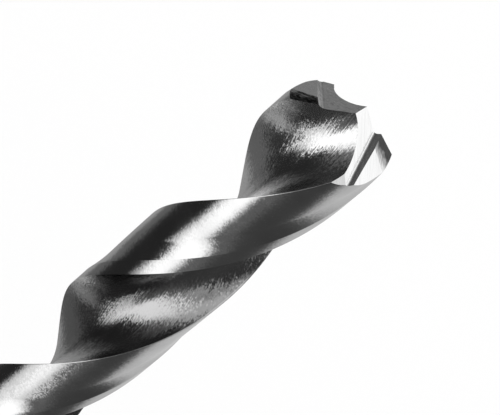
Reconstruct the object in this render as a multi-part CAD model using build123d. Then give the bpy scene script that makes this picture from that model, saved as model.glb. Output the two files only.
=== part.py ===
from build123d import *
import math
import os

# Twist drill bit: a right-hand, two-flute jobber drill in high-speed steel, ground from one bar.
# Millimetres and degrees. The axis is Z, the shank's end face is at z = 0 and the point is up.
# Lip A runs outwards along +X. Lip B, its land and its flute are the same, half a turn on.

# ---- overall sizes -------------------------------------------------------------------------
drill_diameter = 10.0        # across the margins, at the lips' outer corners
back_taper = 0.05            # what that loses by the end of the flutes, so that the drill runs free
shank_diameter = 9.95
overall_length = 133.0       # shank end to chisel edge
flute_length = 87.0          # chisel edge to the end of the flutes' run-out
shank_chamfer = 0.6          # 45 degree chamfer at the shank's end

# ---- flutes and lands ----------------------------------------------------------------------
helix_angle = 27.6           # of the margins
web_thickness = 1.5          # thinnest steel between the two flutes
web_angle = 60.5             # from a lip's outer corner round to the thinnest web
land_angle = 78.4            # from a land's leading edge back to its heel
margin_width = 1.32          # full-diameter strip behind the leading edge, measured round the drill
margin_step = 0.12           # width of the slope from the margin down to the rest of the land
body_clearance = 0.15        # depth of the rest of the land below the margin
clearance_fade = 3.0         # length over which that depth fades out at the end of the flutes
floor_radius = 2.2           # bottom of the flute
heel_wall_radius = 3.9       # side of the flute that rises to the heel
straight_lip_start = 1.6     # radius from which the flute is shaped to give a straight lip
wheel_radius = 25.0          # of the grinding wheel, whose rim shows where a flute ends
wheel_bite = 0.1             # how far past the web the wheel reaches there, to run in smoothly

# ---- point ---------------------------------------------------------------------------------
point_angle = 118.0
lip_offset = 0.65            # distance of each lip from the plane through the axis
lip_relief = 21.0            # fall of the primary facet, square to the lip
primary_width = 1.25         # of the primary facet, at primary_width_radius out along the lip
primary_width_radius = 3.0
second_slope = 29.75         # fall of the secondary facet, along the lip
second_relief = 26.0         # fall of the secondary facet, square to the lip
chisel_drop = 0.28           # chisel edge below the crossing of the two outer lips
notch_start = 2.48           # distance out along the lip to the notch that thins the web
notch_floor_tilt = 42.3
notch_floor_azimuth = -28.9  # the way the notch's floor falls, from the lip's direction
notch_wall_tilt = 29.3
notch_wall_azimuth = -130.3  # the way the notch's wall falls
notch_corner_radius = 0.5    # of the wheel that grinds the notch
heel_facet_tilt = 57.0       # of the small facet that takes off the heel's corner
heel_facet_azimuth = -77.7
heel_facet_height = 3.3      # of its plane on the axis, above the crossing of the lips

# ---- worked out ----------------------------------------------------------------------------
radius = drill_diameter / 2
land_radius = radius - body_clearance
web_radius = web_thickness / 2
shank_length = overall_length - flute_length
lead = math.pi * drill_diameter / math.tan(math.radians(helix_angle))
twist_rate = 360 / lead                                       # degrees of turn for each millimetre
lip_slope = 90 - point_angle / 2                              # fall of a lip towards its corner
lips_cross_z = overall_length + chisel_drop                   # where the lines of the two lips meet
corner_angle = math.degrees(math.asin(lip_offset / radius))   # azimuth of lip A's outer corner
heel_angle = corner_angle + 180 - land_angle                  # azimuth of the heel ahead of lip A
web_azimuth = corner_angle + web_angle
outside = radius * 1.4                                        # cutting shapes reach out to here
above = overall_length + radius                               # and up to here
on_base = (Align.CENTER, Align.CENTER, Align.MIN)


def polar(distance, azimuth):
    """Point of the cross-section at a distance from the axis."""
    turn = math.radians(azimuth)
    return Vector(distance * math.cos(turn), distance * math.sin(turn))


def lip_height(distance):
    """Height of a straight lip at a distance from the axis."""
    along = math.sqrt(distance**2 - lip_offset**2)
    return lips_cross_z - along * math.tan(math.radians(lip_slope))


corner_z = lip_height(radius)                                 # the section is drawn at this height


def rake_point(distance):
    """Point of a flute's leading wall, twisted back to the section from the straight lip."""
    on_lip = math.degrees(math.asin(lip_offset / distance))
    return polar(distance, on_lip + twist_rate * (corner_z - lip_height(distance)))


def arc_centre(inner_centre, inner_radius, end, outer_radius):
    """Centre of the arc that carries on an inner arc, tangent to it, and ends at a given point."""
    step = outer_radius - inner_radius
    gap = (end - inner_centre).length
    along = (gap**2 + step**2 - outer_radius**2) / (2 * gap)
    across = math.sqrt(step**2 - along**2)
    forward = (end - inner_centre) / gap
    return inner_centre + forward * along + Vector(forward.Y, -forward.X) * across


def azimuth_of(point):
    return math.degrees(math.atan2(point.Y, point.X))


def flute_section():
    """What the flute ahead of lip A removes, at the height of the lip's corner."""
    web_point = polar(web_radius, web_azimuth)
    along_web = polar(1, web_azimuth + 90)
    points = 5
    inwards = (straight_lip_start - radius) / points
    rake = [rake_point(outside)] + [rake_point(radius + inwards * i) for i in range(points + 1)]
    leading_wall = Spline(rake + [web_point], tangents=[rake[1] - rake[0], along_web])

    heel = polar(land_radius, heel_angle)
    floor_centre = polar(web_radius + floor_radius, web_azimuth)
    wall_centre = arc_centre(floor_centre, floor_radius, heel, heel_wall_radius)
    floor_end = wall_centre + (floor_centre - wall_centre).normalized() * heel_wall_radius
    floor = TangentArc(web_point, floor_end, tangent=along_web)
    wall = TangentArc(floor_end, heel, tangent=floor % 1)

    way_out = Line(heel, polar(outside, heel_angle))
    first = azimuth_of(rake[0])
    rim = CenterArc((0, 0), outside, first, heel_angle - first)
    return make_face([leading_wall, floor, wall, way_out, rim])


def clearance_section():
    """What the body clearance takes off the land beyond that flute, from its heel to its margin."""
    margin_end = corner_angle + 180 - math.degrees(margin_width / radius)
    step_end = margin_end - math.degrees(margin_step / radius)
    step_slope = (margin_end - step_end) / body_clearance
    step_top = margin_end + step_slope * (outside - radius)
    in_flute = heel_angle - land_angle / 4
    back = CenterArc((0, 0), land_radius, in_flute, step_end - in_flute)
    step = Line(polar(land_radius, step_end), polar(outside, step_top))
    rim = CenterArc((0, 0), outside, in_flute, step_top - in_flute)
    side = Line(polar(outside, in_flute), polar(land_radius, in_flute))
    return make_face([back, step, rim, side])


def twisted(section, bottom):
    """A cross-section extruded from a height up past the point, turning with the helix."""
    height = above - bottom
    placed = Pos(0, 0, bottom) * Rot(0, 0, twist_rate * (bottom - corner_z)) * section
    return Solid.extrude_linear_with_rotation(
        placed.face(), (0, 0, bottom), (0, 0, height), twist_rate * height
    )


def run_out():
    """Height at which the wheel starts to leave the flute, and all the space that it sweeps.

    The wheel lies along the helix. Its height is found by halving, so that the heel's edge, which
    is the last of the flute to end, ends where the shank begins.
    """
    lean = math.radians(helix_angle)
    axle_distance = web_radius - wheel_bite + wheel_radius
    low, high = 0, wheel_radius
    for _ in range(40):
        rise = (low + high) / 2
        heel_end = polar(radius, heel_angle - web_azimuth - twist_rate * rise)
        along = rise * math.cos(lean) - heel_end.Y * math.sin(lean)
        if math.hypot(axle_distance - heel_end.X, along) < wheel_radius:
            low = rise
        else:
            high = rise

    start_z = shank_length + rise
    azimuth = web_azimuth + twist_rate * (start_z - corner_z)
    axle = polar(math.cos(lean), azimuth + 90) - Vector(0, 0, math.sin(lean))
    centre = polar(axle_distance, azimuth) + Vector(0, 0, start_z)
    wheel = Plane(origin=centre, z_dir=axle) * Cylinder(wheel_radius, 2 * outside)
    flute_above = Pos(0, 0, start_z) * Cylinder(2 * outside, above, align=on_base)
    return start_z, wheel + flute_above


def clearance_end(start_z):
    """Cone that brings the body clearance back out to the full diameter."""
    slope = body_clearance / clearance_fade
    reach = clearance_fade
    return Pos(0, 0, start_z - reach) * Cone(
        radius + slope * reach, land_radius - slope * reach, clearance_fade + 2 * reach, align=on_base
    )


def falling(slope_along, slope_square, through):
    """Plane through a point that falls along lip A and, more or less, square to it behind the lip."""
    along = math.tan(math.radians(slope_along))
    square = math.tan(math.radians(slope_square))
    return Plane(origin=through, z_dir=(along, -square, 1))


def leaning(tilt, azimuth, through):
    """Plane through a point that falls by a tilt towards an azimuth."""
    lean = math.radians(tilt)
    return Plane(origin=through, z_dir=polar(math.sin(lean), azimuth) + Vector(0, 0, math.cos(lean)))


def on_plane(plane, x, y):
    """Point of a plane straight above a place on the cross-section."""
    normal = plane.z_dir
    rise = normal.X * (plane.origin.X - x) + normal.Y * (plane.origin.Y - y)
    return Vector(x, y, plane.origin.Z + rise / normal.Z)


def space_over(plane, from_x):
    """Everything over a plane, from a distance out along lip A."""
    size = 4 * outside
    block = Pos(from_x + size / 2, 0, overall_length) * Box(size, size, size)
    return split(block, plane, keep=Keep.TOP)


def notch(floor_plane):
    """Space of the wheel that grinds the notch: its floor, its wall and its round corner."""
    wall_start = on_plane(floor_plane, notch_start, lip_offset)
    wall_plane = leaning(notch_wall_tilt, notch_wall_azimuth, wall_start)
    wheel = split(space_over(floor_plane, -2 * outside), wall_plane, keep=Keep.TOP)
    on_both = [
        edge for edge in wheel.edges()
        if abs(floor_plane.to_local_coords(edge.center()).Z) < 1e-6
        and abs(wall_plane.to_local_coords(edge.center()).Z) < 1e-6
    ]
    return fillet(on_both, notch_corner_radius)


def grind_point(drill):
    """Grinds both lands: the primary and secondary facets, the heel's facet and the notch.

    The first two reach in only as far as the notch that takes their inner ends away.
    """
    primary = falling(lip_slope, lip_relief, (0, lip_offset, lips_cross_z))
    back_edge = on_plane(primary, primary_width_radius, lip_offset - primary_width)
    secondary = falling(second_slope, second_relief, back_edge)
    heel = leaning(heel_facet_tilt, heel_facet_azimuth, (0, 0, lips_cross_z + heel_facet_height))
    notch_floor = leaning(notch_floor_tilt, notch_floor_azimuth, (0, 0, overall_length))
    facets = space_over(primary, -lip_offset / 4) + space_over(secondary, notch_start / 2)
    for _ in range(2):
        drill = split(drill - facets - notch(notch_floor), heel, keep=Keep.BOTTOM)
        drill = Rot(0, 0, 180) * drill
    return drill


def round_blank():
    """The bar, turned to the shank and, above it, to the slightly tapered body."""
    shank = Cylinder(shank_diameter / 2, shank_length, align=on_base)
    shank = chamfer(shank.faces().sort_by(Axis.Z)[0].edges(), shank_chamfer)
    slope = back_taper / 2 / (corner_z - shank_length)
    top_radius = radius + slope * (above - corner_z)
    body = Cone(radius - back_taper / 2, top_radius, above - shank_length, align=on_base)
    return shank + Pos(0, 0, shank_length) * body


def twist_drill():
    """The whole drill, ground from its blank."""
    start_z, wheel_space = run_out()
    flute = twisted(flute_section(), shank_length - radius) & wheel_space
    clearance = twisted(clearance_section(), start_z - clearance_fade) - clearance_end(start_z)
    drill = round_blank()
    for _ in range(2):
        drill = Rot(0, 0, 180) * (drill - flute - clearance)
    return grind_point(drill)


os.makedirs("parts", exist_ok=True)
drill_bit = twist_drill()
export_step(drill_bit, "parts/drill_bit.step")
print("drill_bit", round(drill_bit.volume, 1), "mm3", len(drill_bit.faces()), "faces")
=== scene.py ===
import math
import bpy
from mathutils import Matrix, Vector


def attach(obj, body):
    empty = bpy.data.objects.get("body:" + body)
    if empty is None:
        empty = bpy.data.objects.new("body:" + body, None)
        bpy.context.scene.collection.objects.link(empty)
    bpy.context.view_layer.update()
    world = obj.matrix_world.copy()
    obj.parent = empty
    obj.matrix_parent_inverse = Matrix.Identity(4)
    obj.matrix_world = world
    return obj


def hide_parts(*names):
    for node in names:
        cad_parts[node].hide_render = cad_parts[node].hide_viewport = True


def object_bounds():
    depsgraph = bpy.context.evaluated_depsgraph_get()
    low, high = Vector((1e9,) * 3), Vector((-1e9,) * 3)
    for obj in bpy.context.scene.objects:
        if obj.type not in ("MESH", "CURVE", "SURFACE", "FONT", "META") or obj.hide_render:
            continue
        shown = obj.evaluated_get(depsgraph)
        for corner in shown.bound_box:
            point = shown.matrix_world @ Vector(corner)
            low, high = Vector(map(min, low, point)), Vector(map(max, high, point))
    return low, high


bl_info = {
    "name": "Twist drill bit",
    "version": (1, 0, 0),
    "blender": (4, 5, 0),
    "location": "3D View > Sidebar > Twist drill",
    "description": "Models a two-flute jobber drill in ground high-speed steel, with its stage",
    "category": "Add Mesh",
}

import bmesh
import bpy
from bpy.props import FloatProperty, FloatVectorProperty, IntProperty, PointerProperty, StringProperty
from mathutils import Matrix, Vector

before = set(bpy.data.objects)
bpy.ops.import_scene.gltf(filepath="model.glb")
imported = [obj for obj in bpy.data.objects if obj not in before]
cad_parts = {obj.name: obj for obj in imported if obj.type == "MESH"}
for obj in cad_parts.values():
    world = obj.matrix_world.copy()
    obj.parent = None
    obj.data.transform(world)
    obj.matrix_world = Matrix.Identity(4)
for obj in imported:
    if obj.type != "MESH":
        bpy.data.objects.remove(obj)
CAD_LOW, CAD_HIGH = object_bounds()

MM = 0.001
NODE = "drill_bit"
DRILL_LENGTH = CAD_HIGH.z / MM
FLUTE, HEEL, LAND, MARGIN, SHANK, PRIMARY, SECONDARY, NOTCH = range(8)
POINT_FACETS = (PRIMARY, SECONDARY, NOTCH)

FAR = 20.0                        # reach of a grinding wheel's space, in mm
BLOCK_TOP = DRILL_LENGTH + 4 * FAR  # over the highest corner of a steep facet's plane, in mm
ON_BODY = 0.001                   # how near a point is to the round body to lie on it, in mm
ABOVE_POINT = 1.0                 # how far the tip is swept past the lips before grinding, in mm
SHANK_ROW = 2.0                   # height of a row of faces along the shank, in mm
MARGIN_FACE = 2 * math.pi / 180   # how far round one face of the margin goes
HEEL_FACES = 4                    # round the heel's break
NOTCH_CORNER_FACES = 16           # round the corner of the notch
LIP_END_STEP = 1.01               # how far out the second point is that gives the lip's direction
HALVINGS = 40                     # more than enough to find the wheel's rise
CRISP_ANGLE = math.radians(35)    # edges that turn by more than this stay crisp
WELD = 1e-6                       # how near two vertices are to be one, in metres


def mm(name, description, default, soft_max=50.0):
    """A length in millimetres."""
    return FloatProperty(
        name=name, description=f"{description}, in mm", default=default, min=0.0, soft_max=soft_max,
    )


def degrees(name, description, default):
    """An angle, kept in radians and shown in degrees."""
    return FloatProperty(
        name=name, description=description, default=math.radians(default), subtype="ANGLE",
    )


def shade(name, description, default):
    """A colour as an sRGB hex value."""
    return StringProperty(name=name, description=description, default=default)


# ---- what a user would change -------------------------------------------------------------


class BodySizes(bpy.types.PropertyGroup):
    """Sizes of the shank, the flutes and the lands, in millimetres."""

    drill_diameter: mm("Drill diameter", "Across the margins at the point", 10.0)
    back_taper: mm("Back taper", "What the diameter loses by the end of the flutes", 0.05)
    shank_diameter: mm("Shank diameter", "Across the plain shank", 9.95)
    shank_chamfer: mm("Shank chamfer", "Chamfer at the shank's end", 0.6)
    flute_length: mm("Flute length", "Chisel edge to the end of the flutes", 87.0, 200.0)
    helix_angle: degrees("Helix angle", "Of the margins", 27.6)
    web_thickness: mm("Web thickness", "Thinnest steel between the flutes", 1.5)
    web_angle: degrees("Web angle", "From a lip's corner round to the thinnest web", 60.5)
    land_angle: degrees("Land angle", "From a land's leading edge to its heel", 78.4)
    margin_width: mm("Margin width", "Full-diameter strip behind the leading edge", 1.32)
    margin_hollow: mm("Margin hollow", "Width of the hollow in which the land rises to the margin", 1.7)
    land_fall: mm("Land fall", "How much deeper than its clearance the land lies by that hollow", 0.07)
    body_clearance: mm("Body clearance", "Depth of the land below the margin", 0.15)
    clearance_fade: mm("Clearance fade", "Length over which the clearance ends", 3.0)
    floor_radius: mm("Floor radius", "Bottom of the flute", 2.2)
    wall_radius: mm("Heel wall radius", "Side of the flute that rises to the heel", 3.9)
    heel_break: mm("Heel break", "Rounding that takes the burr off the heel", 0.07)
    lip_start: mm("Straight lip start", "Radius from which the lip is straight", 1.6)
    wheel_radius: mm("Wheel radius", "Of the wheel that leaves the run-out", 25.0)
    wheel_bite: mm("Wheel bite", "How far past the web the wheel reaches", 0.1)


class PointSizes(bpy.types.PropertyGroup):
    """Sizes of the point's ground facets, in millimetres and degrees."""

    point_angle: degrees("Point angle", "Between the two lips", 118.0)
    lip_offset: mm("Lip offset", "From each lip to the plane through the axis", 0.65)
    lip_relief: degrees("Lip relief", "Fall of the primary facet behind the lip", 21.0)
    primary_width: mm("Primary width", "Of the primary facet, near the middle of the lip", 1.25)
    primary_width_radius: mm("Primary width radius", "Where that width is measured", 3.0)
    second_slope: degrees("Second slope", "Fall of the secondary facet along the lip", 29.75)
    second_relief: degrees("Second relief", "Fall of the secondary facet behind the lip", 26.0)
    chisel_drop: mm("Chisel drop", "Chisel edge below the crossing of the lips", 0.28)
    notch_start: mm("Notch start", "Distance out along the lip to the notch", 2.48)
    notch_floor_tilt: degrees("Notch floor tilt", "Of the notch that thins the web", 42.3)
    notch_floor_azimuth: degrees("Notch floor azimuth", "The way its floor falls", -28.9)
    notch_wall_tilt: degrees("Notch wall tilt", "Of the notch's wall", 29.3)
    notch_wall_azimuth: degrees("Notch wall azimuth", "The way its wall falls", -130.3)
    notch_corner_radius: mm("Notch corner", "Corner of the wheel that grinds the notch", 0.5)
    heel_facet_tilt: degrees("Heel facet tilt", "Of the facet on the heel's corner", 57.0)
    heel_facet_azimuth: degrees("Heel facet azimuth", "The way the heel facet falls", -77.7)
    heel_facet_height: mm("Heel facet height", "On the axis, above the crossing of the lips", 3.3)


class SteelLook(bpy.types.PropertyGroup):
    """The greys of the ground steel as sRGB hex values, two of them painted shade."""

    # Painted shade: the flutes get the first grey away from the point and the second near it, so that
    # they darken lower down the drill.
    flute_painted_shade: shade("Flute, dull", "The flutes away from the point", "ACACAC")
    flute_bright: shade("Flute, bright", "The flutes near the point, where chips rub them", "D6D6D6")
    land_dull: shade("Land, dull", "Duller patches of the lands, the margins and the shank", "CCCCCC")
    land_bright: shade("Land, bright", "Brighter patches of them", "D8D8D8")
    # Painted shade: this near-black grey is painted on the primary facets' outer ends.
    primary_painted_shade: shade("Primary facet, dark", "Their outer ends, darkened by the wheel's heat", "363636")
    primary_bright: shade("Primary facet, bright", "The rest of the primary facets", "CCCCCC")
    facet_dull: shade("Facet, dull", "Duller patches of the point's other facets", "CCCCCC")
    facet_bright: shade("Facet, bright", "Brighter patches of them", "DCDCDC")


class MeshFineness(bpy.types.PropertyGroup):
    """How finely the surfaces are divided."""

    row_step: mm("Row step", "Height of a row of faces along the flutes", 0.4)
    fine_step: mm("Fine step", "Height of a row at the point and in the run-out", 0.2)
    wall_points: IntProperty(name="Wall points", description="Along the leading wall", default=26, min=4)
    arc_points: IntProperty(name="Arc points", description="Along each other stretch", default=22, min=4)


class StageLook(bpy.types.PropertyGroup):
    """The camera, the floor and the light."""

    camera_place: FloatVectorProperty(
        name="Camera place", description="Where the camera stands", size=3,
        default=(-0.069284, -0.162977, 0.278992), subtype="TRANSLATION", unit="LENGTH",
    )
    camera_azimuth: degrees("Camera azimuth", "Where the camera stands, round the drill", -113.078)
    camera_elevation: degrees("Camera elevation", "How far it looks down", 42.42)
    camera_roll: degrees("Camera roll", "Turn about its own line of sight", 49.49)
    lens: FloatProperty(name="Lens", description="Focal length", default=209.12, unit="CAMERA")
    floor_colour: shade("Floor colour", "Pale paper", "FFFFFF")
    tent_radius: FloatProperty(
        name="Tent radius", description="Of the light tent round the point", default=1.2, unit="LENGTH",
    )


# ---- small helpers ------------------------------------------------------------------------


def polar(distance, azimuth):
    """Point of the cross-section, with its azimuth in radians."""
    return Vector((distance * math.cos(azimuth), distance * math.sin(azimuth), 0.0))


def turned(point, angle):
    """A point turned about the drill's axis."""
    c = math.cos(angle)
    s = math.sin(angle)
    return Vector((c * point.x - s * point.y, s * point.x + c * point.y, point.z))


def linear(hex_colour):
    """An sRGB hex value as linear red, green, blue and alpha."""
    parts = [int(hex_colour[i:i + 2], 16) / 255 for i in (0, 2, 4)]
    return [c / 12.92 if c <= 0.04045 else ((c + 0.055) / 1.055) ** 2.4 for c in parts] + [1.0]


def add_node(tree, kind, settings=None, **inputs):
    """Adds a shader node. An input given as (node, output) is linked, and any other is set.

    An input is called by its name, or by i and its number.
    """
    node = tree.nodes.new(kind)
    for key, value in (settings or {}).items():
        setattr(node, key, value)
    for key, value in inputs.items():
        numbered = key[0] == "i" and key[1:].isdigit()
        socket = node.inputs[int(key[1:]) if numbered else key]
        if isinstance(value, tuple) and isinstance(value[0], bpy.types.Node):
            tree.links.new(value[0].outputs[value[1]], socket)
        else:
            socket.default_value = value
    return node


def around(ring):
    """Each place in a closed ring, with the one after it."""
    return [(i, (i + 1) % len(ring)) for i in range(len(ring))]


def steps(low, high, step):
    """Evenly spaced values from low to high, at most a step apart."""
    count = max(1, math.ceil((high - low) / step - 1e-6))
    return [low + (high - low) * i / count for i in range(count + 1)]


# ---- the drill's cross-section ------------------------------------------------------------


class Section:
    """The cross-section at the height of the lips' corners, and how it changes along the drill."""

    def __init__(self, body, point):
        self.body = body
        self.point = point
        self.radius = body.drill_diameter / 2
        self.land_radius = self.radius - body.body_clearance
        self.web_radius = body.web_thickness / 2
        self.shank_length = DRILL_LENGTH - body.flute_length
        lead = math.pi * body.drill_diameter / math.tan(body.helix_angle)
        self.twist = 2 * math.pi / lead
        self.lips_cross = DRILL_LENGTH + point.chisel_drop
        self.corner_angle = math.asin(point.lip_offset / self.radius)
        self.corner_z = self.lip_height(self.radius)
        self.heel_angle = self.corner_angle + math.pi - body.land_angle
        self.land_start = self.heel_angle + body.heel_break / self.land_radius
        self.margin_start = self.corner_angle + math.pi - body.margin_width / self.radius
        self.web_azimuth = self.corner_angle + body.web_angle
        self.axle_distance = self.web_radius - body.wheel_bite + body.wheel_radius
        self.wheel_z = self.shank_length + self.wheel_rise()

    def lip_height(self, distance):
        """Height of the lip at a distance from the axis."""
        along = math.sqrt(distance**2 - self.point.lip_offset**2)
        return self.lips_cross - along / math.tan(self.point.point_angle / 2)

    def rake_point(self, distance):
        """Where the leading wall that holds the straight lip crosses the section."""
        on_lip = math.asin(self.point.lip_offset / distance)
        return polar(distance, on_lip + self.twist * (self.corner_z - self.lip_height(distance)))

    def wheel_rise(self):
        """How far above the shank the wheel starts to leave the flute, found by halving."""
        lean = self.body.helix_angle
        wheel = self.body.wheel_radius
        low = 0.0
        high = wheel
        for _ in range(HALVINGS):
            rise = (low + high) / 2
            heel = polar(self.radius, self.heel_angle - self.web_azimuth - self.twist * rise)
            along = rise * math.cos(lean) - heel.y * math.sin(lean)
            if math.hypot(self.axle_distance - heel.x, along) < wheel:
                low = rise
            else:
                high = rise
        return (low + high) / 2

    def leading_wall(self, count):
        """From the leading edge in along the straight lip, then round a cubic curve to the web."""
        start = self.body.lip_start
        distances = steps(start, self.radius, (self.radius - start) / count)
        straight = [self.rake_point(distance) for distance in reversed(distances)]
        lip_end = straight[-1]
        web = polar(self.web_radius, self.web_azimuth)
        reach = (web - lip_end).length
        way_in = (lip_end - self.rake_point(start * LIP_END_STEP)).normalized() * reach
        way_out = polar(1, self.web_azimuth + math.pi / 2) * reach
        curve = []
        for i in range(1, count + 1):
            t = i / count
            h = (2 * t**3 - 3 * t**2 + 1, t**3 - 2 * t**2 + t, 3 * t**2 - 2 * t**3, t**3 - t**2)
            curve.append(lip_end * h[0] + way_in * h[1] + web * h[2] + way_out * h[3])
        return straight + curve

    def heel_side(self, count):
        """From the web along the floor's arc and the heel wall's, which are tangent, to the heel."""
        inner = self.body.floor_radius
        outer = self.body.wall_radius
        floor_centre = polar(self.web_radius + inner, self.web_azimuth)
        heel = polar(self.land_radius, self.heel_angle)
        gap = (heel - floor_centre).length
        along = (gap**2 + (outer - inner) ** 2 - outer**2) / (2 * gap)
        across = math.sqrt((outer - inner) ** 2 - along**2)
        forward = (heel - floor_centre) / gap
        wall_centre = floor_centre + forward * along + Vector((forward.y, -forward.x, 0)) * across
        join = wall_centre + (floor_centre - wall_centre).normalized() * outer
        web = polar(self.web_radius, self.web_azimuth)
        return self.arc(floor_centre, web, join, count) + self.arc(wall_centre, join, heel, count)

    @staticmethod
    def arc(centre, start, end, count):
        """Points of a clockwise arc, without its first: a hollow, when going round the steel."""
        spoke = start - centre
        last_spoke = end - centre
        first = math.atan2(spoke.y, spoke.x)
        angle = (first - math.atan2(last_spoke.y, last_spoke.x)) % (2 * math.pi)
        return [centre + polar(spoke.length, first - angle * i / count) for i in range(1, count + 1)]

    def heel_edge(self, flute_end):
        """Round the heel, from the flute's end to the land, without either."""
        corner = polar(self.land_radius, self.heel_angle)
        back = (flute_end - corner).normalized() * self.body.heel_break + corner
        front = polar(self.land_radius, self.land_start)
        points = []
        for i in range(HEEL_FACES):
            t = i / HEEL_FACES
            points.append(back * (1 - t) ** 2 + corner * 2 * t * (1 - t) + front * t**2)
        return points

    def land(self, count):
        """From the heel's break to the margin, without its last: the clearance, then the hollow."""
        clearance = self.body.body_clearance
        fall = self.body.land_fall
        hollow = self.body.margin_hollow / self.radius
        hollow_start = self.margin_start - hollow
        points = []
        for i in range(2 * count + 1):
            t = i / (2 * count)
            azimuth = self.land_start + (hollow_start - self.land_start) * t
            points.append(polar(self.land_radius - fall * t**2, azimuth))
        for i in range(1, count // 2):
            t = i / (count // 2)
            rise = (clearance + fall) * t**2 - fall
            points.append(polar(self.land_radius + rise, self.margin_start - hollow * (1 - t)))
        return points

    def outline(self, fineness):
        """Half of the outline as (point, region), counter-clockwise from a land's leading edge."""
        flute = self.leading_wall(fineness.wall_points) + self.heel_side(fineness.arc_points)
        corner = polar(self.land_radius, self.heel_angle)
        while (flute[-1] - corner).length < self.body.heel_break:
            flute.pop()
        flute_end = flute.pop()
        half = [(p, FLUTE) for p in flute]
        half += [(p, HEEL) for p in [flute_end] + self.heel_edge(flute_end)]
        half += [(p, LAND) for p in self.land(fineness.arc_points)]
        for azimuth in steps(self.margin_start, self.corner_angle + math.pi, MARGIN_FACE)[:-1]:
            half.append((polar(self.radius, azimuth), MARGIN))
        return half

    def body_radius(self, z):
        """Radius of the margins, with the back taper."""
        share = (self.corner_z - z) / (self.corner_z - self.shank_length)
        return self.radius - self.body.back_taper / 2 * share

    def place(self, point, region, z):
        """A point of the outline at a height, turned with the helix."""
        full = self.body_radius(z)
        azimuth = self.twist * (z - self.corner_z)
        scale = 1.0
        if region == MARGIN:
            scale = full / self.radius
        elif region != FLUTE:
            faded = min(max((z - self.wheel_z) / self.body.clearance_fade, 0.0), 1.0)
            scale = 1 + (full / self.land_radius - 1) * (1 - faded)
        placed = turned(point * min(scale, full / point.length), azimuth)
        placed.z = z
        if z < self.wheel_z and region in (FLUTE, HEEL):
            placed = self.lifted(placed, azimuth, full)
        return placed

    def lifted(self, placed, azimuth, full):
        """A point of the flute moved out to the wheel's rim, or to the body where the wheel is clear."""
        lean = self.body.helix_angle
        wheel_azimuth = self.web_azimuth + self.twist * (self.wheel_z - self.corner_z)
        centre = polar(self.axle_distance, wheel_azimuth)
        centre.z = self.wheel_z
        axle = polar(math.cos(lean), wheel_azimuth + math.pi / 2) - Vector((0, 0, math.sin(lean)))
        way = polar(1, self.web_azimuth + azimuth)
        offset = placed - centre
        across = offset - axle * offset.dot(axle)
        if across.length <= self.body.wheel_radius:
            return placed
        # Going out by t reaches the wheel's rim where square * t**2 + 2 * half * t + rest is 0.
        flat = Vector((placed.x, placed.y, 0))
        out = flat.dot(way)
        to_body = -out + math.sqrt(max(out * out - flat.length_squared + full**2, 0.0))
        slope = way - axle * way.dot(axle)
        square = slope.length_squared
        half = across.dot(slope)
        rest = across.length_squared - self.body.wheel_radius**2
        root = half * half - square * rest
        to_wheel = (-half - math.sqrt(root)) / square if root > 0 else to_body
        if to_wheel < 0:
            to_wheel = to_body
        return placed + way * min(to_wheel, to_body)


# ---- meshes -------------------------------------------------------------------------------


def left_whole(section, face):
    """Whether a face lies on the round body, below where the wheel starts to leave the flute."""
    if min(v.co.z for v in face.verts) >= section.wheel_z * MM:
        return False
    return all(
        math.hypot(v.co.x, v.co.y) / MM > section.body_radius(v.co.z / MM) - ON_BODY for v in face.verts
    )


def sweep(section, outline, heights, closed):
    """A bmesh of the outline swept through the heights, turning with the helix."""
    mesh = bmesh.new()
    whole = [(p, region, turn) for turn in (0, math.pi) for p, region in outline]
    rows = []
    for z in heights:
        row = [turned(section.place(p, region, z), turn) * MM for p, region, turn in whole]
        rows.append([mesh.verts.new(place) for place in row])
    for low, high in zip(rows, rows[1:]):
        for i, j in around(low):
            face = mesh.faces.new((low[i], low[j], high[j], high[i]))
            face.material_index = LAND if left_whole(section, face) else whole[i][1]
            face.smooth = True
    if closed:
        mesh.faces.new(list(reversed(rows[0])))
        mesh.faces.new(rows[-1])
    return mesh, rows[0]


def add_shank(mesh, section, ring):
    """The plain shank below the flutes, its chamfer and its end face."""
    radius = section.body.shank_diameter / 2
    chamfer = section.body.shank_chamfer
    levels = [(radius, z) for z in reversed(steps(chamfer, section.shank_length, SHANK_ROW))][1:]
    levels.append((radius - chamfer, 0.0))
    above = ring
    for distance, z in levels:
        below = []
        for vertex in ring:
            place = polar(distance, math.atan2(vertex.co.y, vertex.co.x))
            place.z = z
            below.append(mesh.verts.new(place * MM))
        for i, j in around(ring):
            face = mesh.faces.new((below[i], below[j], above[j], above[i]))
            face.material_index = SHANK
            face.smooth = True
        above = below
    end = mesh.faces.new(list(reversed(above)))
    end.material_index = SHANK


def mesh_object(name, mesh, materials):
    """Makes an object from a bmesh, with every region's material in its slots."""
    data = bpy.data.meshes.new(name)
    mesh.to_mesh(data)
    mesh.free()
    for material in materials:
        data.materials.append(material)
    made = bpy.data.objects.new(name, data)
    bpy.context.scene.collection.objects.link(made)
    return made


def plane_over(normal, through):
    """A function that gives the height of a plane over a place on the cross-section."""
    return lambda x, y: through.z + (normal.x * (through.x - x) + normal.y * (through.y - y)) / normal.z


def leaning(tilt, azimuth):
    """Normal of a plane that falls by a tilt towards an azimuth."""
    return polar(math.sin(tilt), azimuth) + Vector((0, 0, math.cos(tilt)))


def block_over(height, from_x):
    """A block that holds everything over a plane, from a distance out along the lip."""
    mesh = bmesh.new()
    corners = [(from_x, -FAR), (FAR, -FAR), (FAR, FAR), (from_x, FAR)]
    low = [mesh.verts.new(Vector((x, y, height(x, y))) * MM) for x, y in corners]
    high = [mesh.verts.new(Vector((x, y, BLOCK_TOP)) * MM) for x, y in corners]
    mesh.faces.new(list(reversed(low)))
    mesh.faces.new(high)
    for i, j in around(low):
        mesh.faces.new((low[i], low[j], high[j], high[i]))
    return mesh


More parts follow.
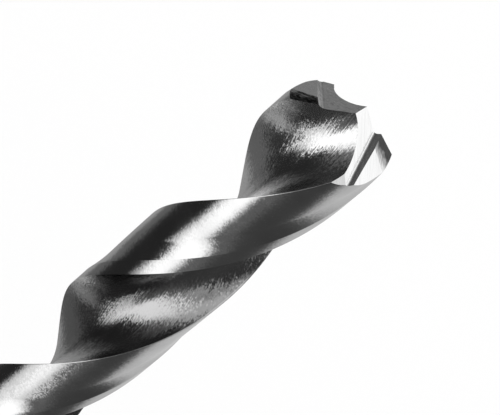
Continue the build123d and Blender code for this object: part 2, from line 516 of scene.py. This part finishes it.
def notch_wheel(point):
    """The notch's wheel as a solid: its floor and its wall meet in a round corner."""
    floor = leaning(point.notch_floor_tilt, point.notch_floor_azimuth)
    wall = leaning(point.notch_wall_tilt, point.notch_wall_azimuth)
    on_floor = plane_over(floor, Vector((0, 0, DRILL_LENGTH)))
    corner = Vector((point.notch_start, point.lip_offset, 0))
    corner.z = on_floor(corner.x, corner.y)
    line = floor.cross(wall).normalized()
    along_floor = line.cross(floor).normalized()
    along_floor *= math.copysign(1, along_floor.dot(wall))
    along_wall = line.cross(wall).normalized()
    along_wall *= math.copysign(1, along_wall.dot(floor))
    half = along_floor.angle(along_wall) / 2
    reach = point.notch_corner_radius / math.tan(half)
    middle = (along_floor + along_wall).normalized()
    centre = corner + middle * (point.notch_corner_radius / math.sin(half))
    to_floor = corner + along_floor * reach - centre
    to_wall = corner + along_wall * reach - centre
    turn = to_floor.angle(to_wall)
    profile = [corner + along_floor * FAR]
    for i in range(NOTCH_CORNER_FACES + 1):
        t = turn * i / NOTCH_CORNER_FACES
        spoke = (to_floor * math.sin(turn - t) + to_wall * math.sin(t)) / math.sin(turn)
        profile.append(centre + spoke)
    profile += [corner + along_wall * FAR, corner + (along_wall + along_floor) * FAR]
    mesh = bmesh.new()
    near = [mesh.verts.new((p - line * FAR) * MM) for p in profile]
    far = [mesh.verts.new((p + line * FAR) * MM) for p in profile]
    for i, j in around(profile):
        mesh.faces.new((near[i], near[j], far[j], far[i]))
    mesh.faces.new(list(reversed(near)))
    mesh.faces.new(far)
    return mesh


def grinding_cuts(section):
    """Each space that is ground away behind one lip, with the region that it leaves.

    The primary block reaches just past the axis, where the chisel edge is. The next one starts
    within the notch, which takes its end away.
    """
    point = section.point
    lip_fall = 1 / math.tan(point.point_angle / 2)
    relief = math.tan(point.lip_relief)
    on_lip = Vector((0, point.lip_offset, section.lips_cross))
    primary = plane_over(Vector((lip_fall, -relief, 1)), on_lip)
    x = point.primary_width_radius
    y = point.lip_offset - point.primary_width
    back_edge = Vector((x, y, primary(x, y)))
    second = Vector((math.tan(point.second_slope), -math.tan(point.second_relief), 1))
    heel = plane_over(
        leaning(point.heel_facet_tilt, point.heel_facet_azimuth),
        Vector((0, 0, section.lips_cross + point.heel_facet_height)),
    )
    return [
        (block_over(primary, -point.lip_offset / 4), PRIMARY),
        (block_over(plane_over(second, back_edge), point.notch_start / 2), SECONDARY),
        (notch_wheel(point), NOTCH),
        (block_over(heel, -FAR), SECONDARY),
    ]


def grind(tip, cuts, materials):
    """Takes the cuts off both lands of the tip."""
    for mesh, region in cuts:
        bmesh.ops.recalc_face_normals(mesh, faces=mesh.faces)
        for face in mesh.faces:
            face.material_index = region
        cutter = mesh_object("wheel", mesh, materials)
        for turn in (0, math.pi):
            cutter.matrix_world = Matrix.Rotation(turn, 4, "Z")
            cut = tip.modifiers.new("grind", "BOOLEAN")
            cut.operation = "DIFFERENCE"
            cut.solver = "EXACT"
            cut.object = cutter
            cut.material_mode = "INDEX"
            bpy.context.view_layer.update()
            result = tip.evaluated_get(bpy.context.evaluated_depsgraph_get())
            ground = bpy.data.meshes.new_from_object(result)
            tip.modifiers.clear()
            before = tip.data
            tip.data = ground
            bpy.data.meshes.remove(before)
        bpy.data.meshes.remove(cutter.data)
    return tip


# ---- finishes -----------------------------------------------------------------------------

SCRATCH_DETAIL = 1.0              # octaves of noise
PATCH_DETAIL = 3.0
WEAR_RANGE = (0.35, 0.65)         # of the patches' noise, from the smooth end to the rough one
TONE_RANGE = (0.3, 0.7)           # of the patches' noise, from the dull colour to the bright one
RAGGEDNESS = 0.6                  # how far a fade's border wanders, in mm
WHEEL_LEAN = -0.25                # lean of the flutes' marks from the helix, in mm for each mm up
ACROSS_FACET = (0.8, 0.3, 0.5)    # the way across the wheel's marks on a facet
ALONG_FACET = (0.3, -0.8, 0.5)    # and the way along them


def new_material(name):
    """An empty material, and its node tree."""
    material = bpy.data.materials.new(name)
    material.use_nodes = True
    material.node_tree.nodes.clear()
    return material, material.node_tree


def helix_marks(tree, section):
    """Places in a flute: across the wheel's marks, along them, and out from the web."""
    place = add_node(tree, "ShaderNodeTexCoord")
    parts = add_node(tree, "ShaderNodeSeparateXYZ", Vector=(place, "Object"))
    turn = add_node(
        tree, "ShaderNodeMath", {"operation": "MULTIPLY"}, i0=(parts, "Z"), i1=-section.twist / MM,
    )
    angle = add_node(
        tree, "ShaderNodeMath", {"operation": "ADD"},
        i0=(turn, 0), i1=section.twist * section.corner_z - section.web_azimuth,
    )
    flat = add_node(
        tree, "ShaderNodeVectorRotate", {"rotation_type": "Z_AXIS"},
        Vector=(place, "Object"), Angle=(angle, 0),
    )
    sides = add_node(tree, "ShaderNodeSeparateXYZ", Vector=(flat, 0))
    side = add_node(tree, "ShaderNodeMath", {"operation": "SIGN"}, i0=(sides, "X"))
    across = add_node(tree, "ShaderNodeMath", {"operation": "MULTIPLY"}, i0=(sides, "Y"), i1=(side, 0))
    lean = add_node(tree, "ShaderNodeMath", {"operation": "MULTIPLY"}, i0=(parts, "Z"), i1=-WHEEL_LEAN)
    over = add_node(tree, "ShaderNodeMath", {"operation": "ADD"}, i0=(across, 0), i1=(lean, 0))
    return add_node(tree, "ShaderNodeCombineXYZ", X=(over, 0), Y=(parts, "Z"), Z=(sides, "X"))


def round_marks(tree, section):
    """Places on the outside: along the axis, which is across the marks, and the way round."""
    place = add_node(tree, "ShaderNodeTexCoord")
    parts = add_node(tree, "ShaderNodeSeparateXYZ", Vector=(place, "Object"))
    return add_node(tree, "ShaderNodeCombineXYZ", X=(parts, "Z"), Y=(parts, "X"), Z=(parts, "Y"))


def facet_marks(tree, section):
    """Places on the point's facets: across the wheel's marks and along them, alike on both lands."""
    place = add_node(tree, "ShaderNodeTexCoord")
    normal = add_node(tree, "ShaderNodeSeparateXYZ", Vector=(place, "Normal"))
    side = add_node(tree, "ShaderNodeMath", {"operation": "SIGN"}, i0=(normal, "Y"))
    land = add_node(tree, "ShaderNodeMath", {"operation": "MULTIPLY"}, i0=(side, 0), i1=-1.0)
    parts = add_node(tree, "ShaderNodeSeparateXYZ", Vector=(place, "Object"))
    x = add_node(tree, "ShaderNodeMath", {"operation": "MULTIPLY"}, i0=(parts, "X"), i1=(land, 0))
    y = add_node(tree, "ShaderNodeMath", {"operation": "MULTIPLY"}, i0=(parts, "Y"), i1=(land, 0))
    own = add_node(tree, "ShaderNodeCombineXYZ", X=(x, 0), Y=(y, 0), Z=(parts, "Z"))
    over, along = [
        add_node(tree, "ShaderNodeVectorMath", {"operation": "DOT_PRODUCT"}, i0=(own, 0), i1=way)
        for way in (ACROSS_FACET, ALONG_FACET)
    ]
    return add_node(
        tree, "ShaderNodeCombineXYZ", X=(over, "Value"), Y=(along, "Value"), Z=(parts, "Z"),
    )


def grid_of(tree, places, size):
    """Places counted in grains of this size across the marks and along them, in mm."""
    across, along = size
    return add_node(
        tree, "ShaderNodeVectorMath", {"operation": "MULTIPLY"},
        i0=(places, 0), i1=(1 / (across * MM), 1 / (along * MM), 1 / (along * MM)),
    )


def glinting(tree, normal, places, size, tilt):
    """The normal, tilted its own way in each grain of this size, by up to about half the tilt."""
    grid = grid_of(tree, places, size)
    cells = add_node(tree, "ShaderNodeTexVoronoi", Vector=(grid, 0), Scale=1.0)
    centred = add_node(
        tree, "ShaderNodeVectorMath", {"operation": "SUBTRACT"}, i0=(cells, "Color"), i1=(0.5, 0.5, 0.5),
    )
    tilted = add_node(
        tree, "ShaderNodeVectorMath", {"operation": "MULTIPLY_ADD"},
        i0=(centred, 0), i1=(tilt, tilt, tilt), i2=(normal, 0),
    )
    return add_node(tree, "ShaderNodeVectorMath", {"operation": "NORMALIZE"}, i0=(tilted, 0))


def fading(tree, places, patches, start, end):
    """From 0 to 1 between two distances along the marks, in mm, with a ragged border."""
    parts = add_node(tree, "ShaderNodeSeparateXYZ", Vector=(places, 0))
    ragged = add_node(
        tree, "ShaderNodeMath", {"operation": "MULTIPLY_ADD"},
        i0=(patches, 0), i1=RAGGEDNESS * MM, i2=(parts, "Y"),
    )
    middle = RAGGEDNESS / 2
    return add_node(
        tree, "ShaderNodeMapRange",
        **{"Value": (ragged, 0), "From Min": (start + middle) * MM, "From Max": (end + middle) * MM},
    )


def ground_steel(name, section, steel, finish):
    """Hardened high-speed steel as a grinding wheel leaves it: bright, cold grey, finely furrowed."""
    material, tree = new_material(name)
    dull, bright = finish["colours"]
    smooth, rough = finish["roughness"]
    places = finish["places"](tree, section)
    scratches = add_node(
        tree, "ShaderNodeTexNoise",
        Vector=(grid_of(tree, places, finish["scratches"]), 0), Scale=1.0, Detail=SCRATCH_DETAIL,
    )
    patches = add_node(
        tree, "ShaderNodeTexNoise",
        Vector=(grid_of(tree, places, finish["patches"]), 0), Scale=1.0, Detail=PATCH_DETAIL,
    )
    worn = add_node(
        tree, "ShaderNodeMapRange",
        **{"Value": (patches, 0), "From Min": WEAR_RANGE[0], "From Max": WEAR_RANGE[1],
           "To Min": smooth, "To Max": rough},
    )
    # Painted shade: a fade darkens the flutes away from the point and the primary facets' outer ends.
    if "fade" in finish:
        tone = fading(tree, places, patches, *finish["fade"])
    else:
        tone = add_node(
            tree, "ShaderNodeMapRange",
            **{"Value": (patches, 0), "From Min": TONE_RANGE[0], "From Max": TONE_RANGE[1]},
        )
    colour = add_node(
        tree, "ShaderNodeMix", {"data_type": "RGBA"},
        Factor=(tone, 0), i6=linear(getattr(steel, dull)), i7=linear(getattr(steel, bright)),
    )
    furrows = add_node(
        tree, "ShaderNodeBump",
        Strength=1.0, Distance=finish["furrow_depth"] * MM, Height=(scratches, 0),
    )
    surface = glinting(tree, furrows, places, finish["grain"], finish["tilt"])
    shader = add_node(
        tree, "ShaderNodeBsdfPrincipled",
        **{"Base Color": (colour, 2), "Metallic": 1.0, "Roughness": (worn, 0), "Normal": (surface, 0)},
    )
    add_node(tree, "ShaderNodeOutputMaterial", Surface=(shader, "BSDF"))
    return material


# Sizes of the marks are in mm, first across them and then along them. The real ones are 0.01 to
# 0.05 mm wide, and are drawn about three times as coarse, so that they show. A grain is one
# glinting spot of a mark. The patches vary the tone and the roughness. Where there is a fade, the
# dull colour turns to the bright one between two distances along the marks: a painted shade.

# The flutes are ground from the solid by a coarse wheel that runs along the helix. Their colour is
# painted duller away from the point: painted shade, for the dimmer light lower down. To the eye: a
# combed sparkle along the flute, whose reflections break up into streaks, duller away from the point.
FLUTE_FINISH = {
    "places": helix_marks,
    "colours": ("flute_painted_shade", "flute_bright"),
    # Painted shade: from the dull grey below 104 mm up the drill to the bright one above 118 mm.
    "fade": (104, 118),
    "roughness": (0.08, 0.16),
    "scratches": (0.14, 8.0),
    "grain": (0.09, 0.16),
    "patches": (1.5, 6.0),
    "furrow_depth": 0.012,
    "tilt": 0.10,
}
# The outside is ground round and round by a fine wheel, to a close size. To the eye: almost a
# mirror, with a soft grainy border to each reflection.
LAND_FINISH = {
    "places": round_marks,
    "colours": ("land_dull", "land_bright"),
    "roughness": (0.06, 0.10),
    "scratches": (0.12, 2.0),
    "grain": (0.14, 0.14),
    "patches": (2.5, 4.0),
    "furrow_depth": 0.0005,
    "tilt": 0.045,
}
# The primary facets are ground across the lip, and their outer ends are painted dark: painted shade.
# To the eye: satin, with a dark ragged end.
PRIMARY_FINISH = {
    "places": facet_marks,
    "colours": ("primary_painted_shade", "primary_bright"),
    # Painted shade: the facets turn from the dark grey to the bright one between these distances along
    # the marks, in mm.
    "fade": (66.5, 67.15),
    "roughness": (0.14, 0.22),
    "scratches": (0.12, 3.0),
    "grain": (0.12, 0.20),
    "patches": (0.12, 0.30),
    "furrow_depth": 0.003,
    "tilt": 0.12,
}
# The other facets and the notch are each one light pass of the wheel. To the eye: an even satin
# grey with straight hairlines.
FACET_FINISH = {
    "places": facet_marks,
    "colours": ("facet_dull", "facet_bright"),
    "roughness": (0.14, 0.22),
    "scratches": (0.12, 3.0),
    "grain": (0.10, 0.20),
    "patches": (0.3, 3.0),
    "furrow_depth": 0.003,
    "tilt": 0.04,
}
FINISHES = (
    ("ground_steel_flute", FLUTE_FINISH),
    ("ground_steel_heel", LAND_FINISH),
    ("ground_steel_land", LAND_FINISH),
    ("ground_steel_margin", LAND_FINISH),
    ("ground_steel_shank", LAND_FINISH),
    ("ground_steel_primary", PRIMARY_FINISH),
    ("ground_steel_secondary", FACET_FINISH),
    ("ground_steel_notch", FACET_FINISH),
)


def drill_materials(section, steel):
    """One finish for each region of the drill, in the order of the regions."""
    return [ground_steel(name, section, steel, finish) for name, finish in FINISHES]


# ---- operators ----------------------------------------------------------------------------


class TWISTDRILL_OT_drill(bpy.types.Operator):
    """Makes the drill and puts it in the place of the CAD model's"""

    bl_idname = "twist_drill.drill"
    bl_label = "Make the drill"

    def execute(self, context):
        scene = context.scene
        section = Section(scene.drill_body, scene.drill_point)
        fineness = scene.drill_mesh
        materials = drill_materials(section, scene.drill_steel)
        outline = section.outline(fineness)
        tip_start = section.corner_z - section.radius
        heights = steps(section.shank_length, section.wheel_z, fineness.fine_step)
        heights += steps(section.wheel_z, tip_start, fineness.row_step)[1:]
        mesh, ring = sweep(section, outline, heights, closed=False)
        add_shank(mesh, section, ring)
        body = mesh_object("ground_drill", mesh, materials)
        tip_heights = steps(tip_start, section.lips_cross + ABOVE_POINT, fineness.fine_step)
        mesh, _ = sweep(section, outline, tip_heights, closed=True)
        tip = grind(mesh_object("drill_tip", mesh, materials), grinding_cuts(section), materials)
        drill = self.joined(body, tip, tip_start)
        if not drill.data.polygons:
            raise RuntimeError("the drill came out empty")
        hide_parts(NODE)
        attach(drill, "root")
        return {"FINISHED"}

    @staticmethod
    def joined(body, tip, tip_start):
        """The body and the ground tip as one piece, welded at their seam."""
        mesh = bmesh.new()
        mesh.from_mesh(tip.data)
        seam = [f for f in mesh.faces if all(abs(v.co.z - tip_start * MM) < WELD for v in f.verts)]
        bmesh.ops.delete(mesh, geom=seam, context="FACES_ONLY")
        mesh.from_mesh(body.data)
        bmesh.ops.remove_doubles(mesh, verts=mesh.verts, dist=WELD)
        for face in mesh.faces:
            face.smooth = face.material_index not in POINT_FACETS
        for edge in mesh.edges:
            regions = {face.material_index for face in edge.link_faces}
            if len(regions) > 1 or edge.calc_face_angle(0) > CRISP_ANGLE:
                edge.smooth = False
        mesh.to_mesh(body.data)
        mesh.free()
        bpy.data.objects.remove(tip)
        return body


# ---- stage --------------------------------------------------------------------------------

TENT_SEGMENTS = 180
TENT_RINGS = 90
TENT_TOP = 0.9                    # brightness of the bare cloth over the point
TENT_FOOT = 0.15                  # and below it
TENT_BAND = 8                     # degrees above and below level, where the one turns to the other
PANEL_EDGE = 3                    # how crisply a panel ends
TWICE_REFLECTED = 1.5             # Glossy Depth is over this in what a reflection itself reflects
FLOOR_REACH = 3.0                 # metres from the drill to the floor's edge
SENSOR_WIDTH = 36.0               # mm
NEAREST = 0.01                    # metres that the camera sees from
FURTHEST = 20.0                   # and up to

# Ground steel shows what stands round it, so its light is a tent of cloth with soft panels. These
# are the panels, each over the ones before it: azimuth and elevation of the middle, half-width and
# half-height, lean (degrees of azimuth for each of elevation), and brightness. 1 is white paper.
PANELS = (
    ("side_panel", 30, -45, 45, 34, 0, 0.62),
    ("far_panel", 88, -50, 24, 30, 0, 0.34),
    ("front_flag", 290, -25, 34, 34, -0.8, 0.06),
    ("low_panel", 120, -72, 40, 14, 0, 0.14),
    ("low_flag", 205, -75, 40, 14, 0, 0.06),
    ("left_flag", 165, -40, 32, 30, -1.1, 0.025),
    ("upper_panel", 190, -2, 24, 14, -1.0, 0.72),
    ("low_wing", 256, -58, 25, 7.5, 0, 0.95),
    ("low_box", 224, -50, 28, 7, 0, 1.0),
    ("soft_box", 217, -31, 24.5, 19, -0.75, 1.6),
    ("upper_wing", 234, -13, 11, 8, -1.0, 0.5),
    ("upper_flag", 249, 0, 17, 11, -1.0, 0.05),
    ("back_card", 97, -2, 24, 14, 0, 0.27),
    ("point_box", 15, 15, 26, 22, 0, 1.45),
    ("heel_card", 310, 17, 24, 16, 0, 1.0),
    ("lip_flag", 101, 12, 17, 10, 0, 0.01),
    ("top_flag", 0, 90, 400, 44, 0, 0.1),
)
# The layout that light sees which the steel has already reflected once, as where one wall of a
# flute mirrors the other.
FLUTE_PANELS = (
    ("right_panel", 20, -58, 95, 22, 0, 0.75),
    ("back_panel", 100, -32, 30, 10, 0, 0.9),
    ("rear_box", 134, -12, 20, 9, 0, 1.2),
    ("rear_flag", 151, -32, 50, 9.5, 0, 0.02),
    ("dark_side", 200, -42, 36, 34, 0, 0.06),
    ("front_side", 262, -42, 26, 24, 0, 0.5),
)


def tent_brightness(azimuth, elevation, panels):
    """Brightness of the tent in a direction, in degrees: white above, grey below, then panels."""
    share = min(max((elevation + TENT_BAND) / (2 * TENT_BAND), 0.0), 1.0)
    light = TENT_FOOT + (TENT_TOP - TENT_FOOT) * share**2 * (3 - 2 * share)
    for _, middle, height, half_width, half_height, lean, level in panels:
        aside = (azimuth - middle - lean * (elevation - height) + 180) % 360 - 180
        reach = (aside / half_width) ** 2 + ((elevation - height) / half_height) ** 2
        cover = math.exp(-math.log(2) * reach**PANEL_EDGE)
        light += (level - light) * cover
    return light


class TWISTDRILL_OT_stage(bpy.types.Operator):
    """Makes the light tent that the steel reflects, the floor, the world's light and the camera"""

    bl_idname = "twist_drill.stage"
    bl_label = "Make the stage"

    def execute(self, context):
        scene = context.scene
        look = scene.drill_stage
        self.add_tent(look)
        self.add_floor(look)
        self.add_world(scene)
        self.add_camera(scene, look)
        scene.view_settings.view_transform = "Standard"
        return {"FINISHED"}

    @staticmethod
    def add_tent(look):
        """White cotton lit from behind: a soft, even glow that only the steel shows."""
        mesh = bmesh.new()
        bmesh.ops.create_uvsphere(
            mesh, u_segments=TENT_SEGMENTS, v_segments=TENT_RINGS, radius=look.tent_radius,
        )
        material, tree = new_material("tent_cloth")
        once = add_node(tree, "ShaderNodeAttribute", {"attribute_name": "brightness"})
        twice = add_node(tree, "ShaderNodeAttribute", {"attribute_name": "flute_brightness"})
        path = add_node(tree, "ShaderNodeLightPath")
        again = add_node(
            tree, "ShaderNodeMath", {"operation": "GREATER_THAN"},
            i0=(path, "Glossy Depth"), i1=TWICE_REFLECTED,
        )
        level = add_node(tree, "ShaderNodeMix", Factor=(again, 0), i2=(once, "Fac"), i3=(twice, "Fac"))
        light = add_node(tree, "ShaderNodeEmission", Color=(1, 1, 1, 1), Strength=(level, 0))
        add_node(tree, "ShaderNodeOutputMaterial", Surface=(light, "Emission"))
        material.cycles.emission_sampling = "NONE"
        tent = mesh_object("light_tent", mesh, [material])
        for name, panels in (("brightness", PANELS), ("flute_brightness", FLUTE_PANELS)):
            brightness = tent.data.attributes.new(name, "FLOAT", "POINT")
            for vertex, value in zip(tent.data.vertices, brightness.data):
                way = vertex.co.normalized()
                azimuth = math.degrees(math.atan2(way.y, way.x))
                value.value = tent_brightness(azimuth, math.degrees(math.asin(way.z)), panels)
        for polygon in tent.data.polygons:
            polygon.use_smooth = True
        tent.location = (0, 0, DRILL_LENGTH * MM)
        tent.visible_camera = False
        tent.visible_diffuse = False
        tent.visible_shadow = False

    @staticmethod
    def add_floor(look):
        """Uncoated white paper: no gloss, so that it shows nothing but the drill's soft shadow."""
        mesh = bmesh.new()
        bmesh.ops.create_grid(mesh, x_segments=1, y_segments=1, size=FLOOR_REACH)
        material, tree = new_material("floor_paper")
        paper = add_node(tree, "ShaderNodeBsdfDiffuse", Color=linear(look.floor_colour))
        add_node(tree, "ShaderNodeOutputMaterial", Surface=(paper, "BSDF"))
        floor = mesh_object("floor", mesh, [material])
        floor.visible_glossy = False

    @staticmethod
    def add_world(scene):
        """Plain white light from all round."""
        world = bpy.data.worlds.new("studio")
        world.use_nodes = True
        world.node_tree.nodes.clear()
        light = add_node(world.node_tree, "ShaderNodeBackground", Color=(1, 1, 1, 1), Strength=1.0)
        add_node(world.node_tree, "ShaderNodeOutputWorld", Surface=(light, "Background"))
        world.cycles.sampling_method = "NONE"
        scene.world = world

    @staticmethod
    def add_camera(scene, look):
        """A long lens close to the point, with the drill running up to the right."""
        camera = bpy.data.objects.new("camera", bpy.data.cameras.new("camera"))
        camera.data.lens = look.lens
        camera.data.sensor_width = SENSOR_WIDTH
        camera.data.clip_start = NEAREST
        camera.data.clip_end = FURTHEST
        back = polar(math.cos(look.camera_elevation), look.camera_azimuth)
        back.z = math.sin(look.camera_elevation)
        facing = back.to_track_quat("Z", "Y").to_matrix().to_4x4()
        place = Matrix.Translation(look.camera_place)
        camera.matrix_world = place @ facing @ Matrix.Rotation(look.camera_roll, 4, "Z")
        scene.collection.objects.link(camera)
        scene.camera = camera


class TWISTDRILL_PT_panel(bpy.types.Panel):
    """Lists the drill's operators and sizes"""

    bl_idname = "TWISTDRILL_PT_panel"
    bl_label = "Twist drill"
    bl_space_type = "VIEW_3D"
    bl_region_type = "UI"
    bl_category = "Twist drill"

    def draw(self, context):
        for operator in OPERATORS:
            self.layout.operator(operator.bl_idname)
        for name, group in GROUPS.items():
            box = self.layout.box()
            for key in group.__annotations__:
                box.prop(getattr(context.scene, name), key)


GROUPS = {
    "drill_body": BodySizes,
    "drill_point": PointSizes,
    "drill_steel": SteelLook,
    "drill_mesh": MeshFineness,
    "drill_stage": StageLook,
}
OPERATORS = (TWISTDRILL_OT_drill, TWISTDRILL_OT_stage)
CLASSES = (*GROUPS.values(), *OPERATORS, TWISTDRILL_PT_panel)


def register():
    """Registers the classes and puts their sizes on the scene."""
    for cls in CLASSES:
        bpy.utils.register_class(cls)
    for name, group in GROUPS.items():
        setattr(bpy.types.Scene, name, PointerProperty(type=group))


def unregister():
    """Undoes register."""
    for name in GROUPS:
        delattr(bpy.types.Scene, name)
    for cls in reversed(CLASSES):
        bpy.utils.unregister_class(cls)


def main():
    """Makes the drill and its stage."""
    register()
    bpy.ops.twist_drill.drill()
    bpy.ops.twist_drill.stage()


if __name__ == "__main__":
    main()
